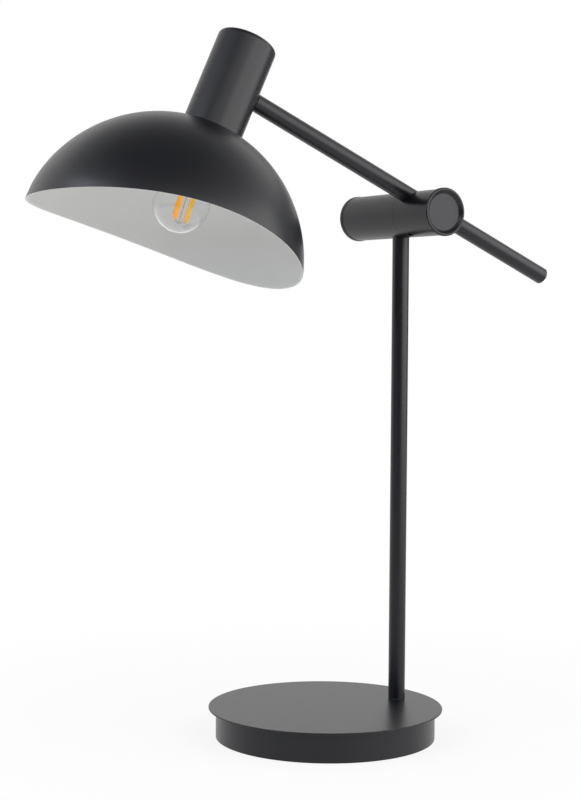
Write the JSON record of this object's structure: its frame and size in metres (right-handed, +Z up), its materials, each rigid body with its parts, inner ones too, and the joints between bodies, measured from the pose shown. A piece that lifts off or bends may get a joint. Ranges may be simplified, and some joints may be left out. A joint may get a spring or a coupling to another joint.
{
  "type": "desk lamp",
  "caption": "Desk lamp with a round weighted base, a pole, a friction hinge barrel, a tilting arm with a tail and a half-dome shade that turns on the arm.",
  "frame": {"origin": "centre of the base on the table, at the underside of the foot pad", "axes": "+Z up along the pole; +X along the arm towards its tail; the front end of the hinge barrel faces -Y"},
  "size_m": [0.5131, 0.2486, 0.6065],
  "materials": {
    "satin_black": "fine satin powder coat",
    "shade_enamel": "satin black outside, matt white inside",
    "zinc": "bright zinc plated",
    "dark_steel": "dark oiled steel",
    "brass": "plain",
    "iron": "rough cast",
    "rubber": "matt",
    "white_plastic": "matt",
    "ceramic": "glazed",
    "glass": "clear",
    "filament": "orange filament coating"
  },
  "bodies": {
    "stand": {"top_plate": "satin_black", "base_skirt": "satin_black", "base_weight": "iron", "bottom_cover": "dark_steel", "foot_pad": "rubber", "cover_screws": "zinc", "inlet_grommet": "rubber", "terminal_block": "white_plastic", "earth_tag": "brass", "earth_screw": "brass", "foot_nipple": "zinc", "foot_washer": "zinc", "foot_nut": "zinc", "foot_plug": "dark_steel", "foot_gasket": "rubber", "pole_tube": "satin_black", "pole_socket": "zinc", "pole_grub_screw": "dark_steel", "rear_barrel": "satin_black", "rear_cap": "satin_black", "hinge_bulkhead": "zinc", "friction_washer": "rubber", "thrust_washer": "brass"},
    "arm": {"front_barrel": "satin_black", "front_cap": "satin_black", "arm_block": "zinc", "hinge_spring_washer": "dark_steel", "journal_nut": "zinc", "arm_grub_screw": "dark_steel", "arm_tube": "satin_black", "tail_plug": "satin_black", "swivel_plug": "dark_steel", "swivel_nipple": "zinc", "swivel_spring_washer": "dark_steel", "swivel_nut": "zinc"},
    "head": {"shade_cup": "satin_black", "swivel_saddle": "zinc", "holder_disc": "zinc", "holder_nipple": "zinc", "holder_nut": "zinc", "lampholder": "white_plastic", "holder_insert": "ceramic", "holder_contact": "brass", "shade_ring": "white_plastic", "shade": "shade_enamel", "bulb_glass": "glass", "bulb_cap": "zinc", "bulb_insulator": "rubber", "bulb_contact": "brass", "bulb_stem": "glass", "bulb_filaments": "filament", "bulb_leads": "zinc"}
  },
  "joints": [
    {"name": "arm_tilt", "type": "hinge", "parent": "stand", "child": "arm", "pos_m": [0.07276, -0.00803, 0.4632], "axis": [0, 1, 0], "range_deg": [-45, 35]},
    {"name": "shade_turn", "type": "hinge", "parent": "arm", "child": "head", "pos_m": [-0.12212, -0.03283, 0.55876], "axis": [0.9178, 0, -0.3971], "range_deg": [-80, 80]}
  ]
}
